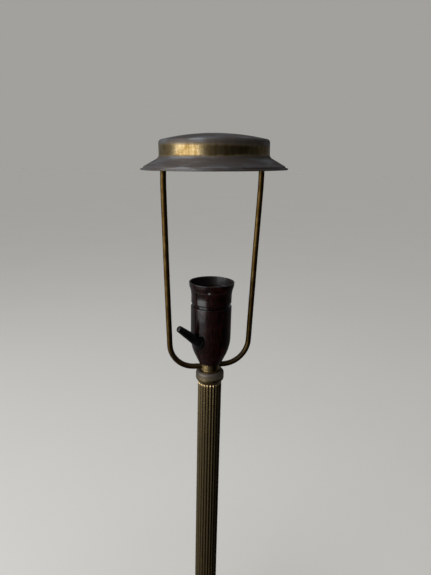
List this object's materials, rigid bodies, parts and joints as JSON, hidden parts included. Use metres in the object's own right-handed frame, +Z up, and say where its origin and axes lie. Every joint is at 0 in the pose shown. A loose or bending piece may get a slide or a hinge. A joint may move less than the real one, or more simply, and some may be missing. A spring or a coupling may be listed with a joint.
{
  "type": "table lamp",
  "caption": "Aged brass lamp: weighted round foot, fluted column, wire harp with a spun gallery cap for a shade, and an upright bakelite lampholder with a switch lever.",
  "frame": {"origin": "middle of the underside of the foot's felt", "axes": "+Z up the lamp's axis; the two harp arms lie in the XZ plane, +X towards the right arm; the cord inlet faces +Y and the switch lever -X -Y"},
  "size_m": [0.19, 0.19, 0.6489],
  "materials": {
    "foot_brass": "aged, browned brass, spun",
    "column_brass": "aged olive-brown brass, fluted",
    "collar_brass": "aged brass with grey-violet patina",
    "bush_brass": "rubbed golden brass",
    "harp_brass": "dark olive-brown aged brass wire",
    "cap_brass": "aged brass, dark grey-brown on the brim and dome",
    "contact_brass": "plain brass",
    "bakelite": "marbled dark red-brown bakelite, glossy",
    "lever_bakelite": "black bakelite, glossy",
    "porcelain": "off-white porcelain",
    "steel": "plain steel",
    "iron": "raw casting",
    "felt": "dark green wool felt",
    "solder": "dull soft solder",
    "inlet": "dark moulded bush",
    "lead_live": "brown insulated core",
    "lead_neutral": "black insulated core"
  },
  "bodies": {
    "lamp": {"base_felt": "felt", "base_plate": "steel", "plate_screws": "steel", "base_weight": "iron", "base_shell": "foot_brass", "cord_inlet_bush": "inlet", "base_washer": "steel", "base_nut": "steel", "tie_rod": "steel", "terminal_block": "porcelain", "terminal_barrels": "contact_brass", "terminal_grub_screws": "steel", "column_foot_ring": "collar_brass", "column_tube": "column_brass", "collar": "collar_brass", "harp_bush": "bush_brass", "harp_arm_left": "harp_brass", "harp_arm_right": "harp_brass", "gallery_cap": "cap_brass", "cap_solder_joints": "solder", "holder_thread_bush": "contact_brass", "holder_body": "bakelite", "holder_mantle": "bakelite", "mantle_lock_screw": "steel", "contact_block": "porcelain", "e27_shell": "contact_brass", "shell_clamp_ring": "contact_brass", "shell_rivets": "contact_brass", "contact_spring": "steel", "holder_terminals": "contact_brass", "holder_terminal_screws": "steel", "ball_retainer": "contact_brass", "switch_contacts": "contact_brass", "inner_lead_live": "lead_live", "inner_lead_neutral": "lead_neutral"},
    "lever": {"switch_lever": "lever_bakelite", "lever_tail": "steel", "bridge_contact": "contact_brass"},
    "contact": {"centre_contact": "contact_brass"}
  },
  "joints": [
    {"name": "lever_switch", "type": "hinge", "parent": "lamp", "child": "lever", "pos_m": [-0.01198, -0.00903, 0.446], "axis": [0.5396, 0.4066, 0.7373], "range_deg": [0, 40]},
    {"name": "contact_press", "type": "slide", "parent": "lamp", "child": "contact", "axis": [0, 0, -1], "range_m": [0, 0.0015], "stiffness_N_per_m": 1500, "springref_m": -0.0003, "deforming": ["contact_spring"]}
  ]
}
